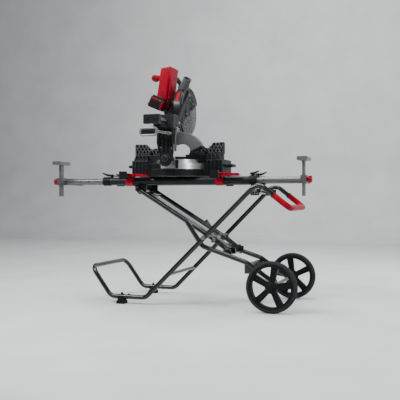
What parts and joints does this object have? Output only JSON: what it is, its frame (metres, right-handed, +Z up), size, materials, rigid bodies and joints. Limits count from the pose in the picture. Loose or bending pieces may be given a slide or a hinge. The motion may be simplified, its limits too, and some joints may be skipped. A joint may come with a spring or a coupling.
{
  "type": "mitre saw on stand",
  "caption": "Sliding compound mitre saw on a folding tube stand with twin rails, extensions with work supports, a foot bow, a grip handle and a pair of spoked wheels.",
  "frame": {"origin": "on the floor, under the middle of the rails", "axes": "+X along the rails towards the wheels, +Y towards the operator's side, +Z up"},
  "size_m": [1.7166, 0.868, 1.512],
  "materials": {
    "rail_paint": "satin dark grey powder coat",
    "frame_paint": "satin black powder coat",
    "black_plastic": "moulded, fine grain",
    "grey_plastic": "grey moulded",
    "red_plastic": "moulded red",
    "red_paint": "red powder coat",
    "bar_steel": "grey satin",
    "steel": "zinc plated",
    "post_metal": "light grey",
    "grip_rubber": "red soft grip",
    "foot_rubber": "black",
    "wheel_plastic": "black moulded",
    "tyre": "dark grey treaded rubber",
    "casting": "dark painted casting",
    "fence_cast": "dark ribbed casting",
    "bare_cast": "bright machined casting",
    "guard_paint": "dark grey",
    "clear_guard": "clear polycarbonate",
    "blade_steel": "ground steel",
    "handle_grey": "grey cast lever"
  },
  "bodies": {
    "beam": {"rail_front": "rail_paint", "rail_rear": "rail_paint", "rail_collars": "black_plastic", "hinge_lugs": "frame_paint", "hinge_pin": "frame_paint", "rest_pads": "foot_rubber"},
    "extension_right": {"ext_bars_right": "bar_steel"},
    "extension_left": {"ext_bars_left": "bar_steel"},
    "ext_lock_right": {"ext_lever_right": "black_plastic"},
    "ext_lock_left": {"ext_lever_left": "black_plastic"},
    "support_right": {"post_right": "post_metal"},
    "support_left": {"post_left": "post_metal"},
    "knob_right": {"post_knob_right": "red_plastic"},
    "knob_left": {"post_knob_left": "red_plastic"},
    "carriage": {"bracket_left": "frame_paint", "bracket_right": "frame_paint", "jaws_left": "red_paint", "jaws_right": "red_paint", "saw_base": "casting", "fence_base": "fence_cast"},
    "cam_left": {"cam_lever_left": "red_plastic"},
    "cam_right": {"cam_lever_right": "red_plastic"},
    "outer_frame": {"outer_leg_near": "frame_paint", "outer_leg_far": "frame_paint", "foot_bow": "frame_paint", "handle_bow": "frame_paint", "outer_cross_tubes": "frame_paint", "handle_grips": "grip_rubber", "foot_pads": "foot_rubber"},
    "inner_frame": {"inner_leg_near": "frame_paint", "inner_leg_far": "frame_paint", "release_rod": "steel", "wheel_arm_near": "frame_paint", "wheel_arm_far": "frame_paint", "inner_cross": "frame_paint", "pivot_pins": "steel", "axle": "steel"},
    "near_wheel": {"wheel_near": "wheel_plastic", "tyre_near": "tyre"},
    "far_wheel": {"wheel_far": "wheel_plastic", "tyre_far": "tyre"},
    "table": {"turntable": "bare_cast", "kerf_plates": "red_plastic"},
    "mitre_lock": {"mitre_lock": "black_plastic"},
    "left_fence": {"fence_left": "fence_cast"},
    "right_fence": {"fence_right": "fence_cast"},
    "bevel": {"bevel_trunk": "casting"},
    "bevel_lock": {"bevel_handle": "handle_grey"},
    "sliding_head": {"slide_rails": "steel", "head_yoke": "casting"},
    "head": {"saw_arm": "casting", "upper_guard": "guard_paint", "motor_housing": "red_plastic", "trigger_handle": "black_plastic", "dust_spigot": "grey_plastic"},
    "lower_guard": {"lower_guard": "clear_guard"},
    "blade": {"blade": "blade_steel", "arbor": "steel"},
    "battery": {"battery": "black_plastic"},
    "trigger": {"trigger": "red_plastic"}
  },
  "joints": [
    {"name": "extension_right_slide", "type": "slide", "parent": "beam", "child": "extension_right", "axis": [1, 0, 0], "range_m": [-0.26, 0.12]},
    {"name": "extension_left_slide", "type": "slide", "parent": "beam", "child": "extension_left", "axis": [-1, 0, 0], "range_m": [-0.26, 0.12]},
    {"name": "extension_right_lock", "type": "hinge", "parent": "beam", "child": "ext_lock_right", "pos_m": [0.48, 0, 0.809], "axis": [0, -1, 0], "range_deg": [0, 70]},
    {"name": "extension_left_lock", "type": "hinge", "parent": "beam", "child": "ext_lock_left", "pos_m": [-0.48, 0, 0.809], "axis": [0, 1, 0], "range_deg": [0, 70]},
    {"name": "support_right_height", "type": "slide", "parent": "extension_right", "child": "support_right", "axis": [0, 0, 1], "range_m": [-0.04, 0.06]},
    {"name": "support_left_height", "type": "slide", "parent": "extension_left", "child": "support_left", "axis": [0, 0, 1], "range_m": [-0.04, 0.06]},
    {"name": "support_right_knob", "type": "hinge", "parent": "extension_right", "child": "knob_right", "pos_m": [0.83, -0.15, 0.771], "axis": [1, 0, 0], "range_deg": [-180, 180]},
    {"name": "support_left_knob", "type": "hinge", "parent": "extension_left", "child": "knob_left", "pos_m": [-0.83, -0.15, 0.771], "axis": [1, 0, 0], "range_deg": [-180, 180]},
    {"name": "saw_along_rails", "type": "slide", "parent": "beam", "child": "carriage", "axis": [1, 0, 0], "range_m": [-0.095, 0]},
    {"name": "bracket_left_lever", "type": "hinge", "parent": "carriage", "child": "cam_left", "pos_m": [-0.285, -0.145, 0.808], "axis": [0, -1, 0], "range_deg": [0, 90]},
    {"name": "bracket_right_lever", "type": "hinge", "parent": "carriage", "child": "cam_right", "pos_m": [0.321, -0.145, 0.808], "axis": [0, -1, 0], "range_deg": [0, 90]},
    {"name": "stand_fold", "type": "hinge", "parent": "beam", "child": "inner_frame", "pos_m": [-0.258, 0, 0.715], "axis": [0, -1, 0], "range_deg": [0, 16]},
    {"name": "outer_frame_fold", "type": "hinge", "parent": "inner_frame", "child": "outer_frame", "pos_m": [0.222, 0, 0.422], "axis": [0, 1, 0], "range_deg": [0, 41.7]},
    {"name": "near_wheel_spin", "type": "hinge", "parent": "inner_frame", "child": "near_wheel", "pos_m": [0.654, -0.31, 0.15], "axis": [0, 1, 0], "continuous": true},
    {"name": "far_wheel_spin", "type": "hinge", "parent": "inner_frame", "child": "far_wheel", "pos_m": [0.654, 0.31, 0.15], "axis": [0, 1, 0], "continuous": true},
    {"name": "mitre_angle", "type": "hinge", "parent": "carriage", "child": "table", "pos_m": [-0.02, 0, 0.86], "axis": [0, 0, -1], "range_deg": [-50, 50]},
    {"name": "mitre_lock_turn", "type": "hinge", "parent": "table", "child": "mitre_lock", "pos_m": [-0.02, 0.4, 0.868], "axis": [0, 1, 0], "range_deg": [-90, 90]},
    {"name": "left_fence_slide", "type": "slide", "parent": "carriage", "child": "left_fence", "axis": [-1, 0, 0], "range_m": [0, 0.16]},
    {"name": "right_fence_slide", "type": "slide", "parent": "carriage", "child": "right_fence", "axis": [1, 0, 0], "range_m": [0, 0.16]},
    {"name": "bevel_angle", "type": "hinge", "parent": "table", "child": "bevel", "pos_m": [-0.02, -0.24, 0.9025], "axis": [0, 1, 0], "range_deg": [-45, 45]},
    {"name": "bevel_lock_lever", "type": "hinge", "parent": "bevel", "child": "bevel_lock", "pos_m": [0.02, -0.3, 1.052], "axis": [0, -1, 0], "range_deg": [0, 45]},
    {"name": "head_slide", "type": "slide", "parent": "bevel", "child": "sliding_head", "axis": [0, 1, 0], "range_m": [0, 0.115]},
    {"name": "head_chop", "type": "hinge", "parent": "sliding_head", "child": "head", "pos_m": [-0.063, -0.15, 1.13], "axis": [-1, 0, 0], "range_deg": [0, 46], "stiffness_Nm_per_rad": 30, "springref_deg": -126.05},
    {"name": "lower_guard_swing", "type": "hinge", "parent": "head", "child": "lower_guard", "pos_m": [-0.02, 0.08, 1.226], "axis": [-1, 0, 0], "range_deg": [0, 140.2]},
    {"name": "blade_spin", "type": "hinge", "parent": "head", "child": "blade", "pos_m": [-0.02, 0.08, 1.226], "axis": [1, 0, 0], "continuous": true},
    {"name": "battery_slide", "type": "slide", "parent": "head", "child": "battery", "axis": [0, -1, 0], "range_m": [0, 0.08]},
    {"name": "trigger_pull", "type": "slide", "parent": "head", "child": "trigger", "axis": [0, 1, 0], "range_m": [0, 0.006], "stiffness_N_per_m": 600, "springref_m": -0.006}
  ],
  "couplings": [
    {"joint": "outer_frame_fold", "follows": "stand_fold", "ratio": 2.6},
    {"joint": "lower_guard_swing", "follows": "head_chop", "ratio": 3.0435}
  ]
}
